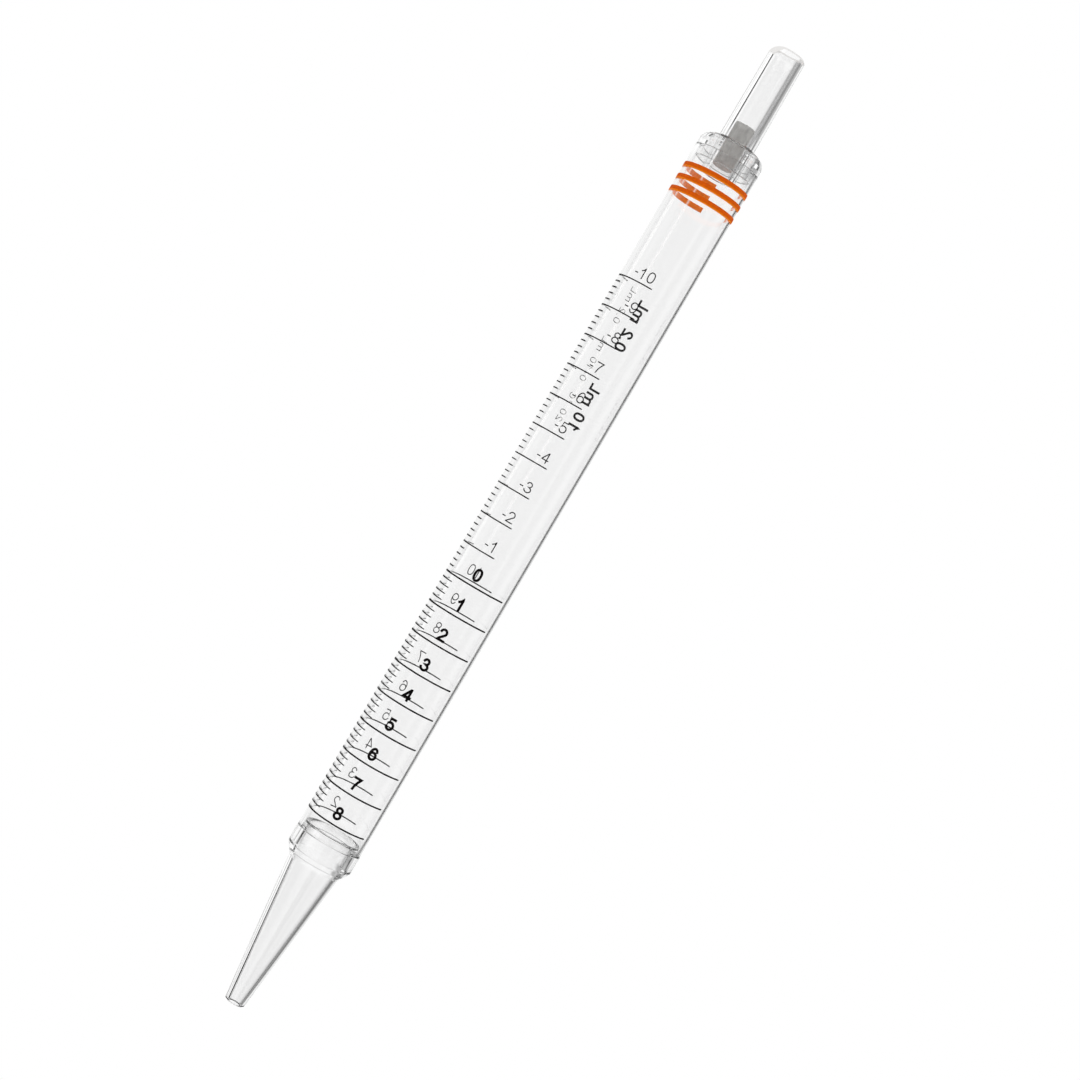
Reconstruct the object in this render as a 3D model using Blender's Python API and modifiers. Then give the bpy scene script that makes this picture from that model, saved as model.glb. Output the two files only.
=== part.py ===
"""A disposable graduated pipette: clear barrel, tapered tip, plugged mouthpiece and three colour bands.

Metres, +Z up. The origin is the centre of the tip's end, and +Z runs up the axis to the mouthpiece's rim.
-Y is the front, where the scale is read. Angles round the axis are counted from the front, positive
towards +X.
"""

import math

import bpy

MM = 0.001
SEGMENTS = 48  # sides of every turned piece, so that nested pieces keep parallel faces

# Barrel: a plain extruded tube.
BARREL_R = 7.5
BARREL_BORE_R = 6.65
BARREL_BOTTOM_Z = 40.25
BARREL_TOP_Z = 205.95
WELD_GAP = 0.3  # left between the barrel's ends and the shoulders that they are welded to

# Tip: spigot inside the barrel, collar below it, neck, cone and a small flat end.
TIP_END_R = 2.29
TIP_END_CHAMFER = 0.45
TIP_ORIFICE_R = 1.3
CONE_TOP_Z = 33.4
CONE_TOP_R = 5.88
CHANNEL_TOP_R = 4.85
CHANNEL_TOP_Z = 34.25
NECK_Z = 33.65
NECK_R = 5.95
COLLAR_R = 7.6
COLLAR_BASE_R = 7.45
COLLAR_BOTTOM_Z = 36.0
COLLAR_TOP_Z = BARREL_BOTTOM_Z - WELD_GAP
COLLAR_LIP_R = 0.25
SPIGOT_R = 6.44
SPIGOT_BORE_R = 5.39
SPIGOT_BORE_BOTTOM_Z = 34.6
SPIGOT_TOP_Z = 41.9
EDGE_BREAK = 0.15  # small chamfer on moulded edges

# Mouthpiece: suction tube, domed shoulder, skirt inside the barrel, and an inner tube that holds the plug.
MOUTH_BORE_R = 2.8
MOUTH_TUBE_TOP_R = 4.0
MOUTH_TUBE_BASE_R = 4.18
RIM_Z = 232.1
DOME_CENTRE_R = 3.0
DOME_BASE_Z = 207.5
DOME_HEIGHT = 2.75
DOME_STEPS = 8
SHOULDER_R = 7.43
SHOULDER_Z = BARREL_TOP_Z + WELD_GAP
SKIRT_R = 6.5
SKIRT_BORE_R = 5.6
SKIRT_BOTTOM_Z = 203.9
CEILING_Z = 208.0
CEILING_FILLET = 0.5
INNER_TUBE_R = 4.0
INNER_TUBE_BOTTOM_Z = 201.8

# The rim is trimmed obliquely on its -X side.
TRIM_ANGLE = math.radians(42)
TRIM_START_X = -2.05
TRIM_BLOCK = 6.0

# Filter plug: a running fit in the mouthpiece's bore.
PLUG_R = MOUTH_BORE_R - 0.05
PLUG_BOTTOM_Z = 203.8
PLUG_TOP_Z = 214.3
PLUG_EDGE = 0.2

# Colour bands: printed ink, three open rings with one gap above another at the back.
BAND_INNER_R = BARREL_R + 0.02
BAND_OUTER_R = BARREL_R + 0.07
BAND_WIDTH = 1.2
BAND_CENTRES_Z = {"upper": 201.1, "middle": 198.25, "lower": 195.4}
BAND_GAP_START = math.radians(114.0)
BAND_GAP_END = math.radians(174.0)

CLEAR_PLASTIC = (0.93, 0.94, 0.95)
PLUG_FIBRE = (0.32, 0.31, 0.29)
ORANGE_INK = (0.75, 0.11, 0.004)


def clear_startup_scene():
    """Removes every object that a new file brings with it."""
    for obj in list(bpy.data.objects):
        bpy.data.objects.remove(obj)


def new_collection(name):
    """Makes a collection under the scene's own."""
    collection = bpy.data.collections.new(name)
    bpy.context.scene.collection.children.link(collection)
    return collection


def principled(name, colour, roughness, alpha=1.0, transmission=0.0):
    """A non-metallic Principled material."""
    material = bpy.data.materials.new(name)
    material.use_nodes = True
    shader = material.node_tree.nodes["Principled BSDF"]
    shader.inputs["Base Color"].default_value = (*colour, 1.0)
    shader.inputs["Roughness"].default_value = roughness
    shader.inputs["Metallic"].default_value = 0.0
    shader.inputs["Alpha"].default_value = alpha
    shader.inputs["Transmission Weight"].default_value = transmission
    material.diffuse_color = (*colour, alpha)
    return material


def clear_plastic(name):
    """Glossy clear polystyrene."""
    return principled(name, CLEAR_PLASTIC, roughness=0.05, alpha=0.35, transmission=0.9)


def arc(centre_r, centre_z, radius_r, radius_z, start, end, steps):
    """Points of an elliptical arc in the (r, z) plane; angles in degrees from the +r direction."""
    points = []
    for step in range(steps + 1):
        angle = math.radians(start + (end - start) * step / steps)
        points.append((centre_r + radius_r * math.cos(angle), centre_z + radius_z * math.sin(angle)))
    return points


def profile_mesh(name, points, closed):
    """An edge-only mesh of (r, z) points in millimetres, laid in the XZ plane at +X."""
    vertices = [(r * MM, 0.0, z * MM) for r, z in points]
    edges = [(i, i + 1) for i in range(len(points) - 1)]
    if closed:
        edges.append((len(points) - 1, 0))
    mesh = bpy.data.meshes.new(name + "_profile")
    mesh.from_pydata(vertices, edges, [])
    return mesh


def turned(name, points, collection, material, closed=True):
    """Turns a profile about Z. It runs down its outer side; an open one starts and ends on the axis."""
    holder = bpy.data.objects.new(name + "_profile", profile_mesh(name, points, closed))
    collection.objects.link(holder)
    screw = holder.modifiers.new("Turn", "SCREW")
    screw.axis = "Z"
    screw.angle = 2 * math.pi
    screw.steps = SEGMENTS
    screw.render_steps = SEGMENTS
    screw.use_merge_vertices = True
    screw.merge_threshold = 0.00001
    bpy.context.view_layer.update()
    evaluated = holder.evaluated_get(bpy.context.evaluated_depsgraph_get())
    mesh = bpy.data.meshes.new_from_object(evaluated)
    bpy.data.objects.remove(holder)
    mesh.name = name
    mesh.shade_smooth()
    mesh.set_sharp_from_angle(angle=math.radians(30))
    mesh.materials.clear()
    mesh.materials.append(material)
    obj = bpy.data.objects.new(name, mesh)
    collection.objects.link(obj)
    return obj


def box_cutter(name, size_mm, collection):
    """A box with its scale applied, shown as a wire and left out of renders."""
    bpy.ops.mesh.primitive_cube_add(size=1.0)
    cutter = bpy.context.object
    cutter.name = name
    cutter.scale = [length * MM for length in size_mm]
    bpy.ops.object.transform_apply(location=False, rotation=False, scale=True)
    for home in list(cutter.users_collection):
        home.objects.unlink(cutter)
    collection.objects.link(cutter)
    cutter.hide_render = True
    cutter.display_type = "WIRE"
    return cutter


def cut(obj, cutter):
    """Takes the cutter's volume away from the object."""
    boolean = obj.modifiers.new("Cut_" + cutter.name, "BOOLEAN")
    boolean.operation = "DIFFERENCE"
    boolean.solver = "EXACT"
    boolean.object = cutter


def build_barrel(collection):
    """The extruded tube between the two mouldings."""
    points = [
        (BARREL_R, BARREL_TOP_Z),
        (BARREL_R, BARREL_BOTTOM_Z),
        (BARREL_BORE_R, BARREL_BOTTOM_Z),
        (BARREL_BORE_R, BARREL_TOP_Z),
    ]
    return turned("barrel", points, collection, clear_plastic("barrel_clear"))


def build_tip(collection):
    """The tapered tip with the spigot that fits inside the barrel."""
    collar_lip = arc(
        COLLAR_R - COLLAR_LIP_R, COLLAR_TOP_Z - COLLAR_LIP_R, COLLAR_LIP_R, COLLAR_LIP_R, 90, 0, 3
    )
    points = [
        (SPIGOT_BORE_R + EDGE_BREAK, SPIGOT_TOP_Z),
        (SPIGOT_R - EDGE_BREAK, SPIGOT_TOP_Z),
        (SPIGOT_R, SPIGOT_TOP_Z - EDGE_BREAK),
        (SPIGOT_R, COLLAR_TOP_Z),
        *collar_lip,
        (COLLAR_BASE_R, COLLAR_BOTTOM_Z),
        (NECK_R, NECK_Z),
        (CONE_TOP_R, CONE_TOP_Z),
        (TIP_END_R, TIP_END_CHAMFER),
        (TIP_END_R - TIP_END_CHAMFER, 0.0),
        (TIP_ORIFICE_R, 0.0),
        (CHANNEL_TOP_R, CHANNEL_TOP_Z),
        (SPIGOT_BORE_R, SPIGOT_BORE_BOTTOM_Z),
        (SPIGOT_BORE_R, SPIGOT_TOP_Z - EDGE_BREAK),
    ]
    return turned("tip", points, collection, clear_plastic("tip_clear"))


def build_mouthpiece(collection, cutters):
    """The moulding at the top: tube, dome, skirt and the inner tube round the plug."""
    dome_width = SHOULDER_R - DOME_CENTRE_R
    dome_start = math.degrees(math.acos((MOUTH_TUBE_BASE_R - DOME_CENTRE_R) / dome_width))
    dome = arc(DOME_CENTRE_R, DOME_BASE_Z, dome_width, DOME_HEIGHT, dome_start, 0, DOME_STEPS)
    ceiling = arc(
        SKIRT_BORE_R - CEILING_FILLET, CEILING_Z - CEILING_FILLET, CEILING_FILLET, CEILING_FILLET, 0, 90, 3
    )
    points = [
        (MOUTH_BORE_R, RIM_Z),
        (MOUTH_TUBE_TOP_R - EDGE_BREAK, RIM_Z),
        (MOUTH_TUBE_TOP_R, RIM_Z - EDGE_BREAK),
        *dome,
        (SHOULDER_R, SHOULDER_Z),
        (SKIRT_R, SHOULDER_Z),
        (SKIRT_R, SKIRT_BOTTOM_Z + EDGE_BREAK),
        (SKIRT_R - EDGE_BREAK, SKIRT_BOTTOM_Z),
        (SKIRT_BORE_R, SKIRT_BOTTOM_Z),
        *ceiling,
        (INNER_TUBE_R, CEILING_Z),
        (INNER_TUBE_R, INNER_TUBE_BOTTOM_Z),
        (MOUTH_BORE_R, INNER_TUBE_BOTTOM_Z),
    ]
    mouthpiece = turned("mouthpiece", points, collection, clear_plastic("mouthpiece_clear"))
    trim = box_cutter("rim_trim", (2 * TRIM_BLOCK, 2 * TRIM_BLOCK, TRIM_BLOCK), cutters)
    # The block's lower face is the sloping cut. It meets the rim's top face at TRIM_START_X.
    trim.rotation_euler.y = -TRIM_ANGLE
    reach = TRIM_BLOCK / 2
    trim.location = (
        (TRIM_START_X - reach * math.sin(TRIM_ANGLE)) * MM,
        0.0,
        (RIM_Z + reach * math.cos(TRIM_ANGLE)) * MM,
    )
    cut(mouthpiece, trim)
    return mouthpiece


def build_filter_plug(collection):
    """The fibre plug. Its origin is on the bore's axis, where it sits when seated."""
    material = principled("filter_fibre", PLUG_FIBRE, roughness=0.95)
    height = PLUG_TOP_Z - PLUG_BOTTOM_Z
    points = [
        (0.0, height),
        (PLUG_R - PLUG_EDGE, height),
        (PLUG_R, height - PLUG_EDGE),
        (PLUG_R, PLUG_EDGE),
        (PLUG_R - PLUG_EDGE, 0.0),
        (0.0, 0.0),
    ]
    plug = turned("filter_plug", points, collection, material, closed=False)
    plug.location.z = PLUG_BOTTOM_Z * MM
    return plug


def build_colour_bands(collection, cutters):
    """Three open printed rings."""
    half = BAND_WIDTH / 2
    points = [(BAND_OUTER_R, half), (BAND_OUTER_R, -half), (BAND_INNER_R, -half), (BAND_INNER_R, half)]
    gap_middle = (BAND_GAP_START + BAND_GAP_END) / 2
    gap_width = 2 * BAND_OUTER_R * math.sin((BAND_GAP_END - BAND_GAP_START) / 2)
    heights = list(BAND_CENTRES_Z.values())
    tall = max(heights) - min(heights) + 2 * BAND_WIDTH
    gap = box_cutter("band_gap", (gap_width, BAND_OUTER_R, tall), cutters)
    gap.rotation_euler.z = gap_middle
    gap.location = (
        BAND_OUTER_R * math.sin(gap_middle) * MM,
        -BAND_OUTER_R * math.cos(gap_middle) * MM,
        sum(heights) / len(heights) * MM,
    )
    bands = []
    for place, height in BAND_CENTRES_Z.items():
        name = "colour_band_" + place
        material = principled(name + "_ink", ORANGE_INK, roughness=0.45)
        band = turned(name, points, collection, material)
        band.location.z = height * MM
        cut(band, gap)
        bands.append(band)
    return bands


def build_pipette():
    """Builds every piece and returns the objects."""
    clear_startup_scene()
    parts = new_collection("graduated_pipette")
    cutters = new_collection("cutters")
    pieces = [
        build_barrel(parts),
        build_tip(parts),
        build_mouthpiece(parts, cutters),
        build_filter_plug(parts),
    ]
    pieces.extend(build_colour_bands(parts, cutters))
    bpy.context.view_layer.update()
    return pieces


build_pipette()
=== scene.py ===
"""Looks of the graduated pipette: clear turned mouldings, a fibre plug, orange bands and the printed scale.

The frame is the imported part's: the axis is +Z and the front is -Y. Angles round the barrel are counted from
the front, positive towards +X, which is a reader's right. Sizes are in millimetres unless a comment says
metres, and meshes are in metres.
"""

import math

import bmesh
import bpy
from mathutils import Matrix, Vector, noise


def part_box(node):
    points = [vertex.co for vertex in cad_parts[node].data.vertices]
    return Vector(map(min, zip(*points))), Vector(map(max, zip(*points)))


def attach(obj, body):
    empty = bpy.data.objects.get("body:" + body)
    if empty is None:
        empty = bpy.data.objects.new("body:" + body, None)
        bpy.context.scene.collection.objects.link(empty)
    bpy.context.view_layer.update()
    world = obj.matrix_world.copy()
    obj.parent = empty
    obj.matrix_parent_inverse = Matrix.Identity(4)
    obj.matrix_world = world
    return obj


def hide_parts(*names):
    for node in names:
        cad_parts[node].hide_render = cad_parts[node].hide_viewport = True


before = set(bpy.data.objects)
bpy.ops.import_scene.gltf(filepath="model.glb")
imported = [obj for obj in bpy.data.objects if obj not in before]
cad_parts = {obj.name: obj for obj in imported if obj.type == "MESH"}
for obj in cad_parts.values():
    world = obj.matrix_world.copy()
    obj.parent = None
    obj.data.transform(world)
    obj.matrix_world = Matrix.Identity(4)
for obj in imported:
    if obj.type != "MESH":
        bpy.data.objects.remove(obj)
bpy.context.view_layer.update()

MM = 0.001
TURN = 2 * math.pi
BODY = "pipette"
FILTER_BODY = "filter"

# ---------------------------------------------------------------- sizes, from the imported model
barrel_low, barrel_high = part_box("barrel")
tip_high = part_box("tip")[1]
mouth_low, mouth_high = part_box("mouthpiece")
plug_low, plug_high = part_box("filter_plug")

BARREL_R = barrel_high.x / MM
BORE_R = 6.65  # the barrel's
CAD_GAP = 0.3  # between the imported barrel's ends and the shoulders, closed here by the welds
SEAM = 0.02  # gap that is left at a weld, at its outer edge
BARREL_TOP = barrel_high.z / MM + (CAD_GAP - SEAM) / 2
BARREL_BOTTOM = barrel_low.z / MM - (CAD_GAP - SEAM) / 2
SEAM_NOTCH = 0.1  # rounding of the edges that meet at a weld seam
SPIGOT_R = 6.44
COLLAR_R = tip_high.x / MM - 0.08
SKIRT_R = 6.5
SPIGOT_TOP = tip_high.z / MM
SKIRT_BOTTOM = 203.9
RIM = mouth_high.z / MM
SEGMENTS = 192
SUPPORT = 0.04  # distance from a corner of the added points that keep long walls flat
SHARP_DEG = 30
ON_FACE = 0.001  # how near to a face's height counts as lying on it

# ---------------------------------------------------------------- mesh helpers


def link(obj):
    """Puts an object in the scene."""
    bpy.context.scene.collection.objects.link(obj)
    return obj


def arc(centre_r, centre_z, radius_r, radius_z, start, end, steps):
    """Points of an elliptical arc in the (r, z) plane; angles in degrees from the +r direction."""
    points = []
    for step in range(steps + 1):
        angle = math.radians(start + (end - start) * step / steps)
        points.append((centre_r + radius_r * math.cos(angle), centre_z + radius_z * math.sin(angle)))
    return points


def straight(start, end, steps):
    """Evenly spaced points between two profile points, both ends left out."""
    points = []
    for step in range(1, steps):
        share = step / steps
        points.append((start[0] + (end[0] - start[0]) * share, start[1] + (end[1] - start[1]) * share))
    return points


def rounded(corners):
    """The closed outline through (r, z, radius) corners, with each corner rounded to its radius."""
    outline = []
    for index, (r, z, radius) in enumerate(corners):
        if radius == 0:
            outline.append((r, z))
            continue
        corner = Vector((r, z))
        back = Vector(corners[index - 1][:2]) - corner
        ahead = Vector(corners[(index + 1) % len(corners)][:2]) - corner
        half_angle = back.angle(ahead) / 2
        reach = min(radius / math.tan(half_angle), 0.8 * back.length, 0.8 * ahead.length)
        radius = reach * math.tan(half_angle)
        towards = (back.normalized() + ahead.normalized()).normalized()
        centre = corner + towards * radius / math.sin(half_angle)
        first = corner + back.normalized() * reach - centre
        last = corner + ahead.normalized() * reach - centre
        start = math.atan2(first.y, first.x)
        turn = math.remainder(math.atan2(last.y, last.x) - start, TURN)
        steps = max(2, round(abs(turn) / math.radians(15)))
        for step in range(steps + 1):
            angle = start + turn * step / steps
            outline.append((centre.x + radius * math.cos(angle), centre.y + radius * math.sin(angle)))
    return outline


def supported(profile):
    """The closed outline with points added near the ends of its long sides, whose shading then stays flat."""
    held = []
    for here, there in zip(profile, profile[1:] + profile[:1]):
        held.append(here)
        length = math.dist(here, there)
        if length > 4 * SUPPORT:
            for share in (SUPPORT / length, 1 - SUPPORT / length):
                held.append(tuple(a + (b - a) * share for a, b in zip(here, there)))
    return held


def turned(name, profile, materials, finish):
    """A closed (r, z) millimetre outline turned about the axis.

    finish(r, z) gives the index of the material for the faces at that place on the outline.
    """
    profile = supported(profile)
    count = len(profile)
    vertices, faces, finishes = [], [], []
    for step in range(SEGMENTS):
        angle = TURN * step / SEGMENTS
        for r, z in profile:
            vertices.append((r * math.sin(angle) * MM, -r * math.cos(angle) * MM, z * MM))
    for step in range(SEGMENTS):
        here = step * count
        there = (step + 1) % SEGMENTS * count
        for i in range(count):
            j = (i + 1) % count
            faces.append((here + i, here + j, there + j, there + i))
            r = (profile[i][0] + profile[j][0]) / 2
            z = (profile[i][1] + profile[j][1]) / 2
            finishes.append(finish(r, z))
    mesh = bpy.data.meshes.new(name)
    mesh.from_pydata(vertices, [], faces)
    for material in materials:
        mesh.materials.append(material)
    mesh.polygons.foreach_set("material_index", finishes)
    tidy_normals(mesh)
    mesh.shade_smooth()
    mesh.set_sharp_from_angle(angle=math.radians(SHARP_DEG))
    return link(bpy.data.objects.new(name, mesh))


def tidy_normals(mesh):
    """Turns every face of a closed mesh outwards."""
    work = bmesh.new()
    work.from_mesh(mesh)
    bmesh.ops.recalc_face_normals(work, faces=work.faces)
    work.to_mesh(mesh)
    work.free()


# ---------------------------------------------------------------- materials


class Nodes:
    """Small helper that adds and links shader nodes."""

    def __init__(self, tree):
        self.tree = tree
        tree.nodes.clear()

    def add(self, kind, **settings):
        node = self.tree.nodes.new(kind)
        for key, value in settings.items():
            setattr(node, key, value)
        return node

    def link(self, output, target):
        self.tree.links.new(output, target)

    def math(self, operation, *values, clamp=False):
        node = self.add("ShaderNodeMath", operation=operation, use_clamp=clamp)
        for socket, value in zip(node.inputs, values):
            if isinstance(value, (int, float)):
                socket.default_value = value
            else:
                self.link(value, socket)
        return node.outputs[0]

    def ramp(self, value, stops):
        """Piecewise linear curve through (position, grey or colour) stops."""
        node = self.add("ShaderNodeValToRGB")
        elements = node.color_ramp.elements
        while len(elements) > 1:
            elements.remove(elements[-1])
        for index, (position, colour) in enumerate(stops):
            element = elements[0] if index == 0 else elements.new(position)
            element.position = position
            if isinstance(colour, (int, float)):
                colour = (colour, colour, colour)
            element.color = (*colour, 1.0)
        self.link(value, node.inputs["Fac"])
        return node.outputs["Color"]


def new_material(name):
    material = bpy.data.materials.new(name)
    material.use_nodes = True
    return material, Nodes(material.node_tree)


IOR_POLYSTYRENE = 1.59


def clear_shader(nodes, streak_scale, bump, roughness=0.0):
    """Clear polystyrene with faint lengthwise flow lines."""
    shader = nodes.add("ShaderNodeBsdfPrincipled")
    shader.inputs["Base Color"].default_value = (1, 1, 1, 1)
    shader.inputs["Roughness"].default_value = roughness
    shader.inputs["IOR"].default_value = IOR_POLYSTYRENE
    shader.inputs["Transmission Weight"].default_value = 1.0
    coords = nodes.add("ShaderNodeTexCoord")
    mapping = nodes.add("ShaderNodeMapping")
    mapping.inputs["Scale"].default_value = streak_scale
    nodes.link(coords.outputs["Object"], mapping.inputs["Vector"])
    flow = nodes.add("ShaderNodeTexNoise")
    flow.inputs["Scale"].default_value = 1.0
    flow.inputs["Detail"].default_value = 2.0
    nodes.link(mapping.outputs["Vector"], flow.inputs["Vector"])
    relief = nodes.add("ShaderNodeBump")
    relief.inputs["Strength"].default_value = 1.0
    relief.inputs["Distance"].default_value = bump
    nodes.link(flow.outputs["Fac"], relief.inputs["Height"])
    nodes.link(relief.outputs["Normal"], shader.inputs["Normal"])
    return shader


def mixed(nodes, share, first, second):
    """The first shader, with a share of the second over it."""
    mix = nodes.add("ShaderNodeMixShader")
    if isinstance(share, (int, float)):
        mix.inputs["Fac"].default_value = share
    else:
        nodes.link(share, mix.inputs["Fac"])
    nodes.link(first.outputs[0], mix.inputs[1])
    nodes.link(second.outputs[0], mix.inputs[2])
    return mix


def pale_haze(nodes, brightness):
    """Painted pale glow: an emission, not a lamp, standing in for the soft light that dulled plastic scatters
    from all round, so it looks evenly pale.
    """
    painted_glow = nodes.add("ShaderNodeEmission")
    painted_glow.inputs["Color"].default_value = (brightness, 0.985 * brightness, 0.97 * brightness, 1)
    return painted_glow


# Two pale lines on the bore, painted as an even glow: their angles, half width, share of glow and fade.
PAINTED_GLOW_LINES_DEG = (-22.0, -52.5)
PAINTED_GLOW_HALF_WIDTH_DEG = 2.6
PAINTED_GLOW_COVER = 0.45
PAINTED_GLOW_FADE_Z = (0.108, 0.122)  # metres: the lines fade in over this stretch, and show above it


def barrel_plastic():
    """Extruded clear polystyrene, with two faint pale lines along the bore, painted in as an even glow."""
    material, nodes = new_material("barrel_polystyrene")
    out = nodes.add("ShaderNodeOutputMaterial")
    shader = clear_shader(nodes, (420.0, 420.0, 6.0), 0.000003)
    coords = nodes.add("ShaderNodeTexCoord")
    place = nodes.add("ShaderNodeSeparateXYZ")
    nodes.link(coords.outputs["Object"], place.inputs[0])
    x, y = place.outputs["X"], place.outputs["Y"]
    angle = nodes.math("ARCTAN2", x, nodes.math("MULTIPLY", y, -1.0))
    radius_squared = nodes.math("ADD", nodes.math("MULTIPLY", x, x), nodes.math("MULTIPLY", y, y))
    middle_of_wall = (BARREL_R + BORE_R) / 2 * MM
    in_bore = nodes.math("LESS_THAN", radius_squared, middle_of_wall**2)
    painted_glow = 0.0
    for line in PAINTED_GLOW_LINES_DEG:
        away = nodes.math("ABSOLUTE", nodes.math("SUBTRACT", angle, math.radians(line)))
        near = nodes.math("DIVIDE", away, math.radians(PAINTED_GLOW_HALF_WIDTH_DEG))
        painted_glow = nodes.math("ADD", nodes.math("SUBTRACT", 1.0, near, clamp=True), painted_glow)
    painted_glow = nodes.math("MULTIPLY", nodes.math("MULTIPLY", painted_glow, in_bore), PAINTED_GLOW_COVER)
    fade_start, fade_end = PAINTED_GLOW_FADE_Z
    above = nodes.math("SUBTRACT", place.outputs["Z"], fade_start)
    painted_glow = nodes.math("MULTIPLY", painted_glow, nodes.math("DIVIDE", above, fade_end - fade_start, clamp=True))
    # Painted light: the lines glow pale instead of being lit.
    mix = mixed(nodes, painted_glow, shader, pale_haze(nodes, 1.0))
    nodes.link(mix.outputs["Shader"], out.inputs["Surface"])
    return material


# The painted patch, a painted reflection that glows pale in place of the light the cut face reflects inside
# the wall, is on the front of the trimmed side, above a slanting line and above its foot. Metres.
PAINTED_PATCH_START = (-0.0012, 0.23175)  # x and z of its upper corner
PAINTED_PATCH_SLOPE = 1.02
PAINTED_PATCH_FOOT_Z = 0.23005
PAINTED_PATCH_EDGE = 0.00012  # width over which it fades in
PAINTED_PATCH_COVER = 0.85
PAINTED_RIM_GLOW = 0.82


def moulded_plastic():
    """Injection-moulded clear polystyrene, with a painted pale glow on the front of the trimmed side of the
    rim, in place of the light the cut face reflects inside the wall there.
    """
    material, nodes = new_material("moulded_polystyrene")
    out = nodes.add("ShaderNodeOutputMaterial")
    shader = clear_shader(nodes, (300.0, 300.0, 60.0), 0.000003)
    coords = nodes.add("ShaderNodeTexCoord")
    place = nodes.add("ShaderNodeSeparateXYZ")
    nodes.link(coords.outputs["Object"], place.inputs[0])
    from_corner = nodes.math("SUBTRACT", place.outputs["X"], PAINTED_PATCH_START[0])
    edge_z = nodes.math("MULTIPLY_ADD", from_corner, PAINTED_PATCH_SLOPE, PAINTED_PATCH_START[1])
    above = nodes.math("SUBTRACT", place.outputs["Z"], nodes.math("MAXIMUM", edge_z, PAINTED_PATCH_FOOT_Z))
    painted_patch = nodes.math("DIVIDE", above, PAINTED_PATCH_EDGE, clamp=True)
    painted_patch = nodes.math("MULTIPLY", painted_patch, nodes.math("LESS_THAN", from_corner, 0.0))
    painted_patch = nodes.math("MULTIPLY", painted_patch, nodes.math("LESS_THAN", place.outputs["Y"], 0.0))
    # Painted reflection: the patch glows at an even pale brightness instead of being lit.
    mix = mixed(nodes, nodes.math("MULTIPLY", painted_patch, PAINTED_PATCH_COVER), shader, pale_haze(nodes, PAINTED_RIM_GLOW))
    nodes.link(mix.outputs["Shader"], out.inputs["Surface"])
    return material


PAINTED_CUT_GLOW_COVER = 0.75


def cut_plastic():
    """The rough face that a cut leaves, with its paleness painted in as an even glow over the rough clear
    plastic.
    """
    material, nodes = new_material("cut_polystyrene")
    out = nodes.add("ShaderNodeOutputMaterial")
    shader = clear_shader(nodes, (3000.0, 3000.0, 3000.0), 0.00001, roughness=0.35)
    # Painted light: the cut face's paleness is an even glow mixed over the rough clear plastic.
    mix = mixed(nodes, PAINTED_CUT_GLOW_COVER, shader, pale_haze(nodes, PAINTED_RIM_GLOW))
    nodes.link(mix.outputs["Shader"], out.inputs["Surface"])
    return material


def weld_contact():
    """Faces that are fused to their neighbour: light goes straight on through them."""
    material, nodes = new_material("weld_contact")
    out = nodes.add("ShaderNodeOutputMaterial")
    shader = nodes.add("ShaderNodeBsdfTransparent")
    nodes.link(shader.outputs["BSDF"], out.inputs["Surface"])
    return material


def ink(name, colour, translucency, inner=None):
    """Printed ink: slightly uneven cover, matt surface, some light coming through.

    The face against the plastic can be given a lighter colour of its own: painted light, in place of the
    veiling light that pales it when seen through the glass.
    """
    material, nodes = new_material(name)
    out = nodes.add("ShaderNodeOutputMaterial")
    shader = nodes.add("ShaderNodeBsdfPrincipled")
    coords = nodes.add("ShaderNodeTexCoord")
    grain = nodes.add("ShaderNodeTexNoise")
    grain.inputs["Scale"].default_value = 2500.0
    grain.inputs["Detail"].default_value = 3.0
    nodes.link(coords.outputs["Object"], grain.inputs["Vector"])

    def speckled(tint):
        dark = tuple(channel * 0.82 for channel in tint)
        return nodes.ramp(grain.outputs["Fac"], [(0.3, dark), (0.7, tint)])

    shade = speckled(colour)
    # The inward-facing ink gets the painted lighter colour, which stands in for veiling light through the
    # glass.
    if inner is not None:
        outwards = nodes.add("ShaderNodeVectorMath", operation="DOT_PRODUCT")
        nodes.link(coords.outputs["Object"], outwards.inputs[0])
        nodes.link(coords.outputs["Normal"], outwards.inputs[1])
        faces_in = nodes.math("LESS_THAN", outwards.outputs["Value"], 0.0)
        both = nodes.add("ShaderNodeMix", data_type="RGBA")
        nodes.link(faces_in, both.inputs["Factor"])
        nodes.link(shade, both.inputs["A"])
        nodes.link(speckled(inner), both.inputs["B"])
        shade = both.outputs["Result"]
    nodes.link(shade, shader.inputs["Base Color"])
    shader.inputs["Roughness"].default_value = 0.6
    shader.inputs["Specular IOR Level"].default_value = 0.05
    through = nodes.add("ShaderNodeBsdfTranslucent")
    nodes.link(shade, through.inputs["Color"])
    mix = mixed(nodes, translucency, shader, through)
    nodes.link(mix.outputs["Shader"], out.inputs["Surface"])
    return material


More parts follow.
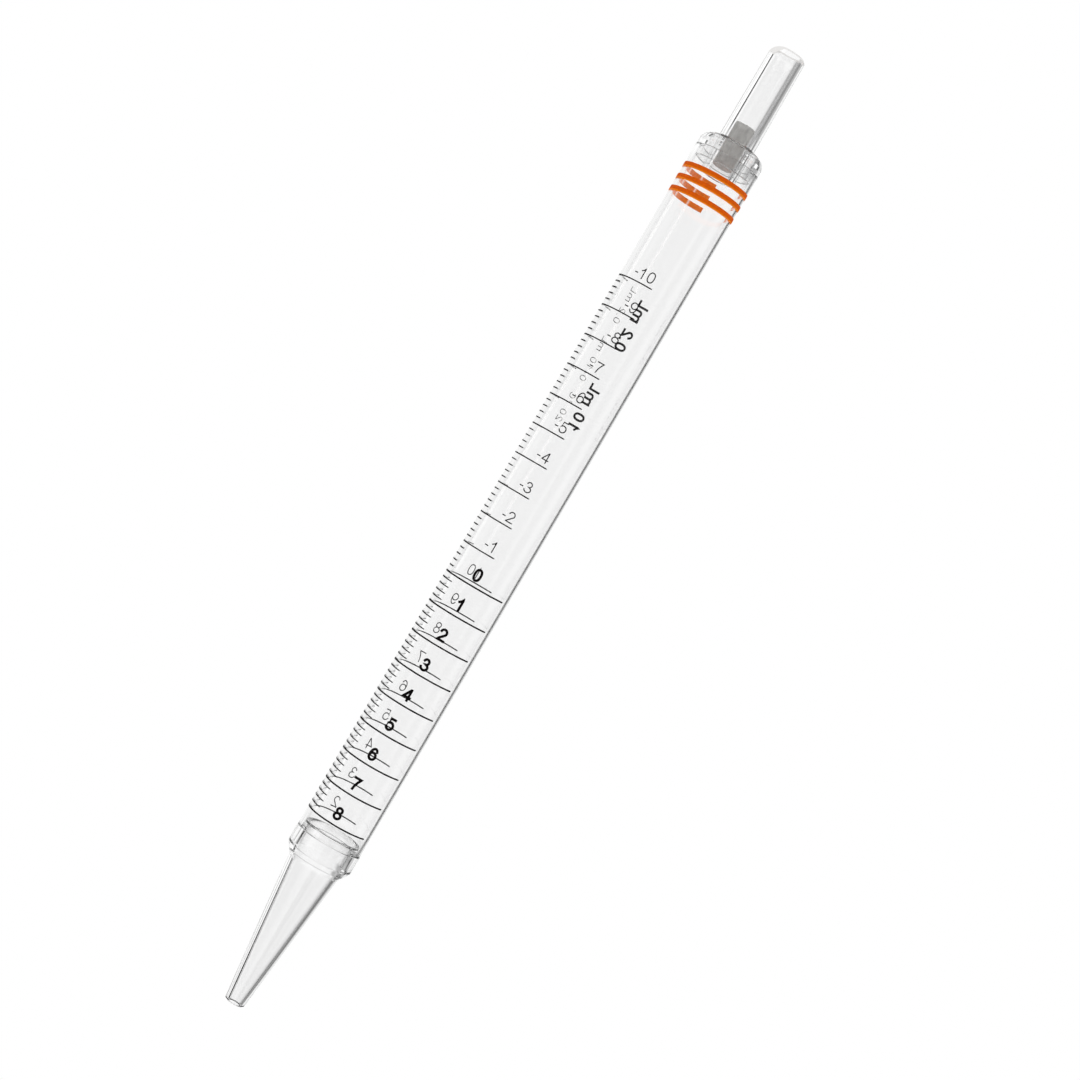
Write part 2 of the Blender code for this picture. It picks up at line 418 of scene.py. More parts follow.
def plug_fibre():
    """Pale compressed fibre: soft mottling, with a fine bump from the same noise."""
    material, nodes = new_material("plug_fibre")
    out = nodes.add("ShaderNodeOutputMaterial")
    shader = nodes.add("ShaderNodeBsdfPrincipled")
    coords = nodes.add("ShaderNodeTexCoord")
    mottle = nodes.add("ShaderNodeTexNoise")
    mottle.inputs["Scale"].default_value = 900.0
    mottle.inputs["Detail"].default_value = 6.0
    mottle.inputs["Roughness"].default_value = 0.7
    nodes.link(coords.outputs["Object"], mottle.inputs["Vector"])
    shade = nodes.ramp(mottle.outputs["Fac"], [(0.3, (0.32, 0.315, 0.305)), (0.7, (0.50, 0.49, 0.475))])
    nodes.link(shade, shader.inputs["Base Color"])
    shader.inputs["Roughness"].default_value = 1.0
    bump_node = nodes.add("ShaderNodeBump")
    bump_node.inputs["Strength"].default_value = 0.6
    bump_node.inputs["Distance"].default_value = 0.0002
    nodes.link(mottle.outputs["Fac"], bump_node.inputs["Height"])
    nodes.link(bump_node.outputs["Normal"], shader.inputs["Normal"])
    nodes.link(shader.outputs["BSDF"], out.inputs["Surface"])
    return material


BARREL_CLEAR = barrel_plastic()
MOULDED_CLEAR = moulded_plastic()
CUT_CLEAR = cut_plastic()
WELD = weld_contact()
BLACK_INK = ink("black_ink", (0.005, 0.004, 0.004), 0.0)
# The inner colour is the same ink painted lighter and paler, standing in for the light that veils it through
# the glass.
ORANGE_INK = ink("orange_ink", (0.81, 0.152, 0.004), 0.35, inner=(1.0, 0.30, 0.006))
PLUG_FIBRE = plug_fibre()

# ---------------------------------------------------------------- clear pieces


CLEAR_FINISH, WELD_FINISH, CUT_FINISH = 0, 1, 2


def build_barrel():
    """The extruded tube. The mouldings are welded to both of its ends."""

    def finish(r, z):
        on_end = z < BARREL_BOTTOM + ON_FACE or z > BARREL_TOP - ON_FACE
        return WELD_FINISH if on_end and r < BARREL_R - SEAM_NOTCH else CLEAR_FINISH

    outline = rounded(
        [
            (BARREL_R, BARREL_TOP, SEAM_NOTCH),
            (BARREL_R, BARREL_BOTTOM, SEAM_NOTCH),
            (BORE_R, BARREL_BOTTOM, 0),
            (BORE_R, BARREL_TOP, 0),
        ]
    )
    barrel = turned("barrel_tube", outline, [BARREL_CLEAR, WELD], finish)
    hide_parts("barrel")
    return barrel


def build_tip():
    """Spigot, collar, neck and cone in one moulding, with the small radii a mould leaves."""
    collar_top = BARREL_BOTTOM - SEAM
    collar_bottom = 36.0
    neck_r, neck_z = 5.93, 33.6
    end_r, orifice_r = 2.24, 1.3
    throat_r, throat_z = 4.85, 33.9
    spigot_bore, spigot_bore_z = 5.39, 35.0

    def finish(r, z):
        on_collar = abs(z - collar_top) < ON_FACE and SPIGOT_R < r < BARREL_R - SEAM_NOTCH
        return WELD_FINISH if on_collar else CLEAR_FINISH

    outline = rounded(
        [
            (SPIGOT_R, SPIGOT_TOP, 0.05),
            (SPIGOT_R, collar_top, 0),
            (COLLAR_R, collar_top, 0.15),
            (COLLAR_R, collar_bottom, 0.5),
            (neck_r, neck_z, 0.5),
            (end_r, 0.0, 0.42),
            (orifice_r, 0.0, 0.1),
            (throat_r, throat_z, 0.6),
            (spigot_bore, spigot_bore_z, 0.6),
            (spigot_bore, SPIGOT_TOP, 1.0),
        ]
    )
    tip = turned("tip_moulding", outline, [MOULDED_CLEAR, WELD], finish)
    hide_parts("tip")
    return tip


TUBE_R = 4.0  # suction tube at the rim
TUBE_FOOT_R = 4.03
TRIM_SIDES = ((-1, 0.9, 1.8), (1, 1.6, 0.75))  # side of the axis, where the slope starts, and its drop


def rim_height(x):
    """Height of the rim over x. The -X side is trimmed away in a rounded slope, the +X side less so."""
    height = RIM
    for side, start, drop in TRIM_SIDES:
        across = min(1.0, max(0.0, (side * x - start) / (TUBE_FOOT_R - start)))
        height -= drop * (1 - math.sqrt(1 - across * across))
    return height


def build_mouthpiece():
    """Suction tube, dome, skirt and inner tube in one moulding, with the trimmed rim."""
    bore, bore_edge = 2.8, 0.12
    rim_edge, cut_margin = 0.2, 0.01
    shoulder = BARREL_TOP + SEAM
    shoulder_r = 7.43
    base_r = 4.18
    dome_r, dome_z, dome_h = 3.0, 207.5, 2.75
    dome_w = shoulder_r - dome_r
    start = math.degrees(math.acos((base_r - dome_r) / dome_w))
    skirt_bore, ceiling = 5.6, 208.9
    inner_r, inner_bottom = 4.0, mouth_low.z / MM
    free_z = RIM - 4.0  # the trim leaves the tube alone below this
    outer_z, inner_z = RIM - 0.5, RIM - 0.3

    def finish(r, z):
        if abs(z - shoulder) < ON_FACE and SKIRT_R < r < shoulder_r - SEAM_NOTCH:
            return WELD_FINISH
        return CUT_FINISH if z > RIM - rim_edge - cut_margin else CLEAR_FINISH

    corners = [
        (TUBE_R, RIM, rim_edge),
        (TUBE_R, outer_z, 0),
        *[(r, z, 0) for r, z in straight((TUBE_R, outer_z), (TUBE_FOOT_R, free_z), 8)],
        (TUBE_FOOT_R, free_z, 0),
        *[(r, z, 0) for r, z in arc(dome_r, dome_z, dome_w, dome_h, start, 0, 16)],
        (shoulder_r, shoulder, SEAM_NOTCH),
        (SKIRT_R, shoulder, 0),
        (SKIRT_R, SKIRT_BOTTOM, 0.1),
        (skirt_bore, SKIRT_BOTTOM, 0.08),
        (skirt_bore, ceiling, 0.6),
        (inner_r, ceiling, 0.15),
        (inner_r, inner_bottom, 0.1),
        (bore, inner_bottom, 0.1),
        (bore, free_z, 0),
        *[(r, z, 0) for r, z in straight((bore, free_z), (bore, inner_z), 8)],
        (bore, inner_z, 0),
        (bore, RIM, bore_edge),
        *[(r, z, 0) for r, z in straight((bore + bore_edge, RIM), (TUBE_R - rim_edge, RIM), 5)],
    ]
    mouth = turned("mouthpiece_moulding", rounded(corners), [MOULDED_CLEAR, WELD, CUT_CLEAR], finish)
    for vertex in mouth.data.vertices:
        z = vertex.co.z / MM
        if z > free_z:
            reach = (z - free_z) / (RIM - free_z)
            z = free_z + reach * (rim_height(vertex.co.x / MM) - free_z)
            vertex.co.z = z * MM
    mouth.data.update()
    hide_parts("mouthpiece")
    return mouth


# ---------------------------------------------------------------- filter plug


PLUG_OVAL = 0.87  # width of the plug over its depth
PLUG_SHIFT_X = -0.18


def build_plug():
    """A rolled fibre plug: slightly oval, uneven at the sides, with ragged ends."""
    low, high = plug_low.z / MM + 0.35, plug_high.z / MM - 0.15
    radius = plug_high.x / MM - 0.06
    rings, caps, sides = 40, 9, 96
    end_shrink, end_reach = 0.10, 0.12  # the ends pull in by this much, over this length
    slack, fold_size, fuzz_size = 0.03, 0.018, 0.012  # shares of the radius
    lump_size = 0.10
    profile = []
    for step in range(caps):
        profile.append((radius * (step + 1) / (caps + 1), high))
    for step in range(rings + 1):
        profile.append((radius, high + (low - high) * step / rings))
    for step in range(caps):
        profile.append((radius * (caps - step) / (caps + 1), low))
    work = bmesh.new()
    rows = []
    for step in range(sides):
        angle = TURN * step / sides
        row = []
        for r, z in profile:
            from_end = min(high - z, z - low)
            shrink = end_shrink * math.exp(-from_end / end_reach) * (r / radius) ** 6
            fold = noise.noise(Vector((3 * math.sin(angle), 3 * math.cos(angle), z * 0.5)))
            fuzz = noise.noise(Vector((14 * math.sin(angle), 14 * math.cos(angle), z * 3.0)))
            reach = r * (1.0 + fold_size * fold + fuzz_size * fuzz - slack) - shrink
            lump = lump_size * noise.noise(Vector((r * math.sin(angle), r * math.cos(angle), z)) * 2.3)
            x = PLUG_OVAL * reach * math.sin(angle) + PLUG_SHIFT_X
            y = -reach * math.cos(angle)
            row.append(work.verts.new((x * MM, y * MM, (z + lump) * MM)))
        rows.append(row)
    top = work.verts.new((PLUG_SHIFT_X * MM, 0, high * MM))
    bottom = work.verts.new((PLUG_SHIFT_X * MM, 0, low * MM))
    for step in range(sides):
        here, there = rows[step], rows[(step + 1) % sides]
        work.faces.new((top, here[0], there[0]))
        work.faces.new((bottom, there[-1], here[-1]))
        for i in range(len(profile) - 1):
            work.faces.new((here[i], here[i + 1], there[i + 1], there[i]))
    bmesh.ops.recalc_face_normals(work, faces=work.faces)
    mesh = bpy.data.meshes.new("fibre_plug")
    work.to_mesh(mesh)
    work.free()
    mesh.shade_smooth()
    mesh.materials.append(PLUG_FIBRE)
    plug = link(bpy.data.objects.new("fibre_plug", mesh))
    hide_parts("filter_plug")
    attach(plug, FILTER_BODY)
    return plug


# ---------------------------------------------------------------- printing on the barrel

INK_BASE = BARREL_R + 0.006
INK_TOP = BARREL_R + 0.022


def wrap(flat, centre_deg, z_mm, along_axis=False):
    """Lays flat (x, y, height) millimetre points on the barrel. Height 0 is the ink's base, 1 its top."""
    placed = []
    for x, y, level in flat:
        if along_axis:
            x, y = -y, x
        angle = math.radians(centre_deg) + x / BARREL_R
        r = INK_BASE + (INK_TOP - INK_BASE) * level
        placed.append((r * math.sin(angle) * MM, -r * math.cos(angle) * MM, (z_mm + y) * MM))
    return placed


class Print:
    """Collects printed marks into one mesh."""

    def __init__(self, name, material, slot):
        self.name = name
        self.material = material
        self.slot = slot
        self.vertices = []
        self.faces = []

    def add(self, vertices, faces):
        offset = len(self.vertices)
        self.vertices.extend(vertices)
        self.faces.extend(tuple(index + offset for index in face) for face in faces)

    def finish(self):
        mesh = bpy.data.meshes.new(self.name)
        mesh.from_pydata(self.vertices, [], self.faces)
        mesh.update()
        tidy_normals(mesh)
        mesh.materials.append(self.material)
        obj = link(bpy.data.objects.new(self.name, mesh))
        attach(obj, BODY)
        return obj


def strip(points_left, points_right, closed=False):
    """A thin solid between two lines of (x, y) points: vertices with a level, and faces."""
    vertices = []
    for (lx, ly), (rx, ry) in zip(points_left, points_right):
        vertices.extend([(lx, ly, 0), (rx, ry, 0), (rx, ry, 1), (lx, ly, 1)])
    count = len(points_left)
    faces = []
    for i in range(count if closed else count - 1):
        a, b = 4 * i, 4 * ((i + 1) % count)
        for k in range(4):
            m = (k + 1) % 4
            faces.append((a + k, a + m, b + m, b + k))
    if not closed:
        last = 4 * (count - 1)
        faces.append((0, 1, 2, 3))
        faces.append((last + 3, last + 2, last + 1, last))
    return vertices, faces


BACK_RISE = 0.16  # the print climbs a little on its way round the left side to the back


def rise(angle_deg):
    """How far the print has climbed at an angle."""
    share = min(1.0, max(0.0, (-60 - angle_deg) / 90))
    return BACK_RISE * share * share * (3 - 2 * share)


def printed_line(target, z_mm, span, thickness, seed):
    """A graduation line between two angles round the barrel, with narrowed ends and slightly uneven edges."""
    start_deg, end_deg = span
    steps = max(6, int(abs(end_deg - start_deg) / 2.5))
    length = math.radians(end_deg - start_deg) * BARREL_R
    left, right = [], []
    for step in range(steps + 1):
        share = step / steps
        x = share * length
        ends = min(x, length - x)
        half = thickness / 2 * (0.55 + 0.45 * min(1.0, ends / (thickness * 0.6)))
        wobble = noise.noise(Vector((x * 1.3, z_mm, seed)))
        half *= 1.0 + 0.10 * wobble
        drift = 0.012 * noise.noise(Vector((x * 0.7, z_mm, seed + 5)))
        drift += rise(start_deg + math.degrees(x / BARREL_R))
        left.append((x, half + drift))
        right.append((x, -half + drift))
    vertices, faces = strip(left, right)
    target.add(wrap(vertices, start_deg, z_mm), faces)


# Stroke shapes of the figures, in a unit box with y upwards. Each is a list of open or closed lines.


def curve(centre_x, centre_y, radius_x, radius_y, start, end, steps=18):
    """Points along an ellipse; angles in degrees from +x, anticlockwise."""
    points = []
    for step in range(steps + 1):
        angle = math.radians(start + (end - start) * step / steps)
        points.append((centre_x + radius_x * math.cos(angle), centre_y + radius_y * math.sin(angle)))
    return points


def loop(centre_x, centre_y, radius_x, radius_y, power=1.0, steps=36):
    """A closed ellipse; a power under 1 squares it a little."""
    points = []
    for step in range(steps):
        angle = TURN * step / steps
        c, s = math.cos(angle), math.sin(angle)
        points.append(
            (
                centre_x + radius_x * math.copysign(abs(c) ** power, c),
                centre_y + radius_y * math.copysign(abs(s) ** power, s),
            )
        )
    return points


def half_turn(lines):
    """The same strokes turned upside down in the unit box."""
    return [(closed, [(1 - x, 1 - y) for x, y in points]) for closed, points in lines]


SIX = [
    (True, loop(0.5, 0.31, 0.5, 0.31)),
    (False, [*curve(0.54, 0.60, 0.42, 0.40, 28, 90, 8), *curve(0.54, 0.44, 0.54, 0.56, 95, 188, 14)]),
]

GLYPHS = {
    "0": (0.66, [(True, loop(0.5, 0.5, 0.5, 0.5, 0.86))]),
    "1": (0.66, [(False, [(0.14, 0.72), (0.42, 0.84), (0.58, 1.0), (0.60, 0.97), (0.60, 0.0)])]),
    "2": (0.66, [(False, [*curve(0.48, 0.72, 0.46, 0.28, 168, -28), (0.06, 0.07), (0.0, 0.0), (1.0, 0.0)])]),
    "3": (
        0.66,
        [
            (
                False,
                [
                    *curve(0.47, 0.76, 0.40, 0.24, 165, -80),
                    (0.36, 0.53),
                    (0.52, 0.53),
                    *curve(0.47, 0.265, 0.53, 0.265, 76, -165),
                ],
            )
        ],
    ),
    "4": (0.68, [(False, [(0.76, 0.0), (0.76, 0.97), (0.70, 0.97), (0.0, 0.27), (1.0, 0.27)])]),
    "5": (
        0.66,
        [(False, [(0.90, 1.0), (0.20, 1.0), (0.06, 0.46), *curve(0.48, 0.33, 0.52, 0.33, 142, -160)])],
    ),
    "6": (0.66, SIX),
    "7": (0.66, [(False, [(0.0, 1.0), (1.0, 1.0), (0.72, 0.70), (0.50, 0.38), (0.38, 0.0)])]),
    "8": (0.66, [(True, loop(0.5, 0.765, 0.42, 0.235)), (True, loop(0.5, 0.265, 0.5, 0.265))]),
    "9": (0.66, half_turn(SIX)),
    "-": (0.34, [(False, [(0.0, 0.38), (1.0, 0.38)])]),
    ".": (0.12, [(False, [(0.0, 0.0), (1.0, 0.0)])]),
    "m": (
        1.02,
        [
            (False, [(0.0, 0.0), (0.0, 0.70)]),
            (False, [(0.0, 0.42), *curve(0.25, 0.46, 0.25, 0.22, 170, 0, 10), (0.5, 0.0)]),
            (False, [(0.5, 0.42), *curve(0.75, 0.46, 0.25, 0.22, 170, 0, 10), (1.0, 0.0)]),
        ],
    ),
    "L": (0.58, [(False, [(0.0, 1.0), (0.0, 0.0), (1.0, 0.0)])]),
    "C": (0.76, [(False, curve(0.52, 0.5, 0.52, 0.5, 45, 315, 24))]),
    "o": (0.34, [(True, loop(0.5, 0.82, 0.5, 0.18))]),
    " ": (0.40, []),
}


def capped(points, reach):
    """The open line made longer by the reach at both ends."""
    ends = []
    for end, inner in ((points[0], points[1]), (points[-1], points[-2])):
        length = math.dist(end, inner)
        ends.append(tuple(a + (a - b) * reach / length for a, b in zip(end, inner)))
    return [ends[0], *points[1:-1], ends[1]]


def offset_line(points, half, closed):
    """The left and right edges of a stroke round a centre line, with mitred corners."""
    count = len(points)
    left, right = [], []
    for i, (x, y) in enumerate(points):
        before = points[i - 1] if closed or i > 0 else None
        after = points[(i + 1) % count] if closed or i < count - 1 else None
        directions = []
        if before is not None:
            directions.append(Vector((x - before[0], y - before[1])).normalized())
        if after is not None:
            directions.append(Vector((after[0] - x, after[1] - y)).normalized())
        along = sum(directions, Vector((0.0, 0.0)))
        along.normalize()
        normal = Vector((-along.y, along.x))
        stretch = 1.0 / max(0.45, along.dot(directions[0]))
        left.append((x + normal.x * half * stretch, y + normal.y * half * stretch))
        right.append((x - normal.x * half * stretch, y - normal.y * half * stretch))
    return left, right


COLUMN_WIDTH = 0.16  # the figures are cut this fine, so that they bend with the barrel
NARROWEST_COLUMN = 0.02


def glyph_solid(character, height, stroke, column):
    """One figure as a flat thin solid in millimetres: strokes joined, then cut across column (0 x, 1 y)."""
    width, lines = GLYPHS[character]
    wide = max(width * height - stroke, 0.01)
    tall = height - stroke
    joined = None
    for closed, points in lines:
        middle = [(stroke / 2 + x * wide, stroke / 2 + y * tall) for x, y in points]
        if not closed:
            middle = capped(middle, stroke / 2)
        vertices, faces = strip(*offset_line(middle, stroke / 2, closed), closed=closed)
        part_mesh = bpy.data.meshes.new("stroke")
        part_mesh.from_pydata(vertices, [], faces)
        tidy_normals(part_mesh)
        part = link(bpy.data.objects.new("stroke", part_mesh))
        if joined is None:
            joined = part
        else:
            union = joined.modifiers.new("Union", "BOOLEAN")
            union.operation = "UNION"
            union.solver = "EXACT"
            union.use_self = True
            union.object = part
            bpy.context.view_layer.update()
            result = bpy.data.meshes.new_from_object(
                joined.evaluated_get(bpy.context.evaluated_depsgraph_get())
            )
            joined.modifiers.clear()
            joined.data = result
            bpy.data.objects.remove(part)
    work = bmesh.new()
    work.from_mesh(joined.data)
    bpy.data.objects.remove(joined)
    lowest = min(v.co[column] for v in work.verts)
    highest = max(v.co[column] for v in work.verts)
    normal = Vector((1, 0, 0)) if column == 0 else Vector((0, 1, 0))
    position = lowest + COLUMN_WIDTH
    while position < highest - NARROWEST_COLUMN:
        geometry = work.verts[:] + work.edges[:] + work.faces[:]
        bmesh.ops.bisect_plane(work, geom=geometry, dist=1e-5, plane_co=normal * position, plane_no=normal)
        position += COLUMN_WIDTH
    work.verts.index_update()
    vertices = [tuple(v.co) for v in work.verts]
    faces = [tuple(v.index for v in face.verts) for face in work.faces]
    work.free()
    return vertices, faces


GLYPH_CACHE = {}


def glyph(character, height, stroke, column):
    """A figure's solid, made once for each size."""
    key = (character, height, stroke, column)
    if key not in GLYPH_CACHE:
        GLYPH_CACHE[key] = glyph_solid(*key)
    return GLYPH_CACHE[key]


# Height, stroke and gap of each kind of lettering.
FALLING_FIGURES = (2.95, 0.56, 0.3)
NEGATIVE_FIGURES = (2.45, 0.24, 0.38)
RISING_FIGURES = (2.55, 0.24, 0.35)
BOLD_TEXT = (2.8, 0.50, 0.45)
FINE_TEXT = (1.75, 0.15, 0.50)


def printed_text(target, text, centre_deg, z_mm, style, along_axis=False):
    """Figures whose left end is at the given angle and whose foot is at the given height.

    Along the axis they read upwards, with their feet on the angle and their start at the height.
    """
    height, stroke, gap = style
    x = 0.0
    for character in text:
        if GLYPHS[character][1]:
            vertices, faces = glyph(character, height, stroke, 1 if along_axis else 0)
            moved = [(vx + x, vy, level) for vx, vy, level in vertices]
            target.add(wrap(moved, centre_deg, z_mm, along_axis), faces)
        x += GLYPHS[character][0] * height + gap


ZERO_LINE_Z = 102.1
PER_ML = 7.198
MINORS_PER_ML = 5
BOLD_LINE, MAJOR_LINE, MINOR_LINE = 0.34, 0.27, 0.24  # thicknesses of the graduation lines
# Where the lines start and end round the barrel, in degrees.
FRONT_SPAN = (-90, 56.5)
BACK_SPAN = (-209, -90)
MINOR_SPAN = (-113, -43)
NEGATIVE_SPAN = (-127, 1)
NEGATIVE_MINOR_SPAN = (-97, -60)
FIGURE_RISE = 1.05  # from a line up to the foot of its figure
NEGATIVE_FIGURE_RISE = 0.80


def right_aligned(target, text, right_deg, z_mm, style):
    """Figures that end at the given angle."""
    height, _, gap = style
    width = sum(GLYPHS[character][0] * height for character in text) + gap * (len(text) - 1)
    printed_text(target, text, right_deg - width * math.degrees(1 / BARREL_R), z_mm, style)


def build_scale():
    """The falling scale on the front, its negative part above 0, and the rising scale on the back."""
    lines = Print("scale_lines", BLACK_INK, "black_ink")
    falling = Print("falling_scale_figures", BLACK_INK, "black_ink")
    negative = Print("negative_scale_figures", BLACK_INK, "black_ink")
    rising = Print("rising_scale_figures", BLACK_INK, "black_ink")
    for value in range(-10, 9):
        z = ZERO_LINE_Z - value * PER_ML
        if value >= 0:
            printed_line(lines, z, FRONT_SPAN, BOLD_LINE, 1)
            printed_line(lines, z, BACK_SPAN, MAJOR_LINE, 2)
            right_aligned(falling, str(value), -1.1, z + FIGURE_RISE, FALLING_FIGURES)
            right_aligned(rising, str(10 - value), -148.0, z + FIGURE_RISE, RISING_FIGURES)
        else:
            printed_line(lines, z, NEGATIVE_SPAN, MAJOR_LINE, 3)
            right_aligned(negative, str(value), -3.2, z + NEGATIVE_FIGURE_RISE, NEGATIVE_FIGURES)
        if value == 8:
            continue
        for minor in range(1, MINORS_PER_ML):
            z_minor = z - minor * PER_ML / MINORS_PER_ML
            span = MINOR_SPAN if value >= 0 else NEGATIVE_MINOR_SPAN
            printed_line(lines, z_minor, span, MINOR_LINE, 4)
    return [lines.finish(), falling.finish(), negative.finish(), rising.finish()]


BOLD_TEXT_DEG, FINE_TEXT_DEG = 187.0, 213.9


def build_capacity_marks():
    """Capacity, division and temperature on the back, reading upwards."""
    bold = Print("capacity_mark", BLACK_INK, "black_ink")
    for text, start_z in (("10 mL", 140.9), ("0.2 mL", 160.6)):
        printed_text(bold, text, BOLD_TEXT_DEG, start_z, BOLD_TEXT, along_axis=True)
    fine = Print("temperature_mark", BLACK_INK, "black_ink")
    for text, start_z in (("20 oC", 141.2), ("0-10 mL", 151.2), ("0.2 mL", 165.4)):
        printed_text(fine, text, FINE_TEXT_DEG, start_z, FINE_TEXT, along_axis=True)
    return [bold.finish(), fine.finish()]


# ---------------------------------------------------------------- colour bands

BAND_START_DEG = -186.8
BAND_END_DEG = 114.0
BAND_SLANT = 0.15  # the rings are printed slightly askew, higher towards +X


def build_band(node):
    """One printed ring with softly uneven edges, open at the back."""
    low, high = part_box(node)
    centre = (low.z + high.z) / 2 / MM
    half = (high.z - low.z) / 2 / MM
    base, top = INK_BASE, high.x / MM - 0.03
    edge = 0.004  # thickness of the ink at the ring's edges
    steps = 180
    section_steps = 6
    vertices, faces = [], []
    for step in range(steps + 1):
        angle = math.radians(BAND_START_DEG + (BAND_END_DEG - BAND_START_DEG) * step / steps)
        upper = half * (1 + 0.03 * noise.noise(Vector((angle * 6, centre, 0))))
        lower = half * (1 + 0.03 * noise.noise(Vector((angle * 6, centre, 9))))
        section = [(base, upper), (base, -lower)]
        for k in range(section_steps + 1):
            share = k / section_steps
            z = -lower + (upper + lower) * share
            crown = 1 - abs(2 * share - 1) ** 4
            section.append((base + edge + (top - base - edge) * crown, z))
        for r, z in section:
            height = centre + z + BAND_SLANT * math.sin(angle)
            vertices.append((r * math.sin(angle) * MM, -r * math.cos(angle) * MM, height * MM))
    count = section_steps + 3
    for step in range(steps):
        a, b = step * count, (step + 1) * count
        for i in range(count):
            j = (i + 1) % count
            faces.append((a + i, a + j, b + j, b + i))
    faces.append(tuple(range(count)))
    faces.append(tuple(reversed(range(steps * count, (steps + 1) * count))))
    mesh = bpy.data.meshes.new(node + "_ink")
    mesh.from_pydata(vertices, [], faces)
    mesh.update()
    tidy_normals(mesh)
    mesh.shade_smooth()
    mesh.set_sharp_from_angle(angle=math.radians(40))
    mesh.materials.append(ORANGE_INK)
    band = link(bpy.data.objects.new(node + "_ink", mesh))
    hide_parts(node)
    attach(band, BODY)
    return band


# ---------------------------------------------------------------- studio


# Brightness of the studio round the pipette, by the angle from the camera's line of sight, positive to the
# right: white panels, with dark cards between them. Each band of elevation has its own setting.
# The barrel's, collar's and tip's values aren't a design. A least-squares fit of a refraction model to the
# photograph's brightness made them, and they were then thinned, rounded and partly changed. The
# moulding's began as such a fit and are now mostly set one by one.
BARREL_CARDS = [
    (-180, 0.08),
    (-150, 0.05),
    (-144, 0.30),
    (-138, 0.72),
    (-132, 0.25),
    (-128, 0.03),
    (-108, 0.06),
    (-90, 0.52),
    (-78, 0.64),
    (-69, 0.96),
    (-45, 0.85),
    (-33, 1.00),
    (-24, 0.72),
    (-15, 1.05),
    (5, 1.05),
    (8, 0.98),
    (14, 1.0),
    (18, 0.75),
    (23, 0.75),
    (27, 0.15),
    (29, 0.0),
    (38, 0.0),
    (42, 0.5),
    (46, 1.20),
    (60, 1.20),
    (66, 0.40),
    (69, 0.20),
    (78, 0.40),
    (93, 0.63),
    (110, 0.26),
    (125, 0.10),
    (180, 0.11),
]
MOULDING_CARDS = [
    (-180, 0.05),
    (-141, 0.05),
    (-140, 1.6),
    (-137, 1.6),
    (-136, 0.05),
    (-95, 0.05),
    (-85, 1.0),
    (-75, 1.0),
    (-69, 0.9),
    (-66, 0.0),
    (-56, 0.0),
    (-52, 0.9),
    (-49, 1.2),
    (-30, 1.1),
    (-18, 1.05),
    (10, 1.05),
    (13, 0.90),
    (18, 0.45),
    (34, 0.45),
    (42, 0.32),
    (54, 0.24),
    (62, 0.40),
    (72, 0.28),
    (85, 0.05),
    (180, 0.05),
]
COLLAR_CARDS = [
    (-180, 0.6),
    (-150, 0.8),
    (-135, 1.2),
    (-120, 1.6),
    (-110, 0.9),
    (-103, 0.0),
    (-58, 0.0),
    (-53, 0.9),
    (-42, 1.1),
    (-35, 0.4),
    (-27, 1.1),
    (-18, 1.0),
    (18, 1.0),
    (22, 0.8),
    (26, 0.45),
    (33, 0.7),
    (37, 0.4),
    (41, 0.0),
    (45, 0.0),
    (50, 0.35),
    (63, 0.42),
    (72, 0.0),
    (180, 0.25),
]
TIP_CARDS = [
    (-180, 0.72),
    (-150, 0.62),
    (-132, 0.10),
    (-120, 0.0),
    (-91, 0.0),
    (-83, 0.38),
    (-74, 0.0),
    (-56, 0.0),
    (-51, 0.47),
    (-42, 1.45),
    (-36, 0.75),
    (-32, 0.33),
    (-24, 1.20),
    (-18, 1.03),
    (12, 0.95),
    (17, 0.80),
    (22, 0.70),
    (27, 0.60),
    (30, 0.35),
    (34, 0.20),
    (48, 0.15),
    (54, 0.40),
    (60, 0.20),
    (68, 0.10),
    (79, 0.80),
    (93, 0.60),
    (108, 0.50),
    (125, 0.60),
    (145, 0.30),
    (157, 0.03),
    (180, 0.10),
]
CARD_PEAK = 5.0
# Where each setting takes over, by elevation from the camera's line of sight, in degrees: (elevation, share).
TIP_SHARE = [(-90, 1.0), (-9.75, 1.0), (-9.55, 0.0)]
COLLAR_SHARE = [(-9.75, 0.0), (-9.55, 1.0), (-8.85, 1.0), (-8.65, 0.0)]
MOULDING_SHARE = [(10.12, 0.0), (10.25, 1.0)]
# Below the cards the studio is plain, and above them it is dim.
CARDS_ABOVE = [(-61, 0.0), (-60, 1.0)]
BELOW_CARDS = 0.88
CARDS_BELOW = [(26.0, 1.0), (28.0, 0.0)]
ABOVE_CARDS = 0.13


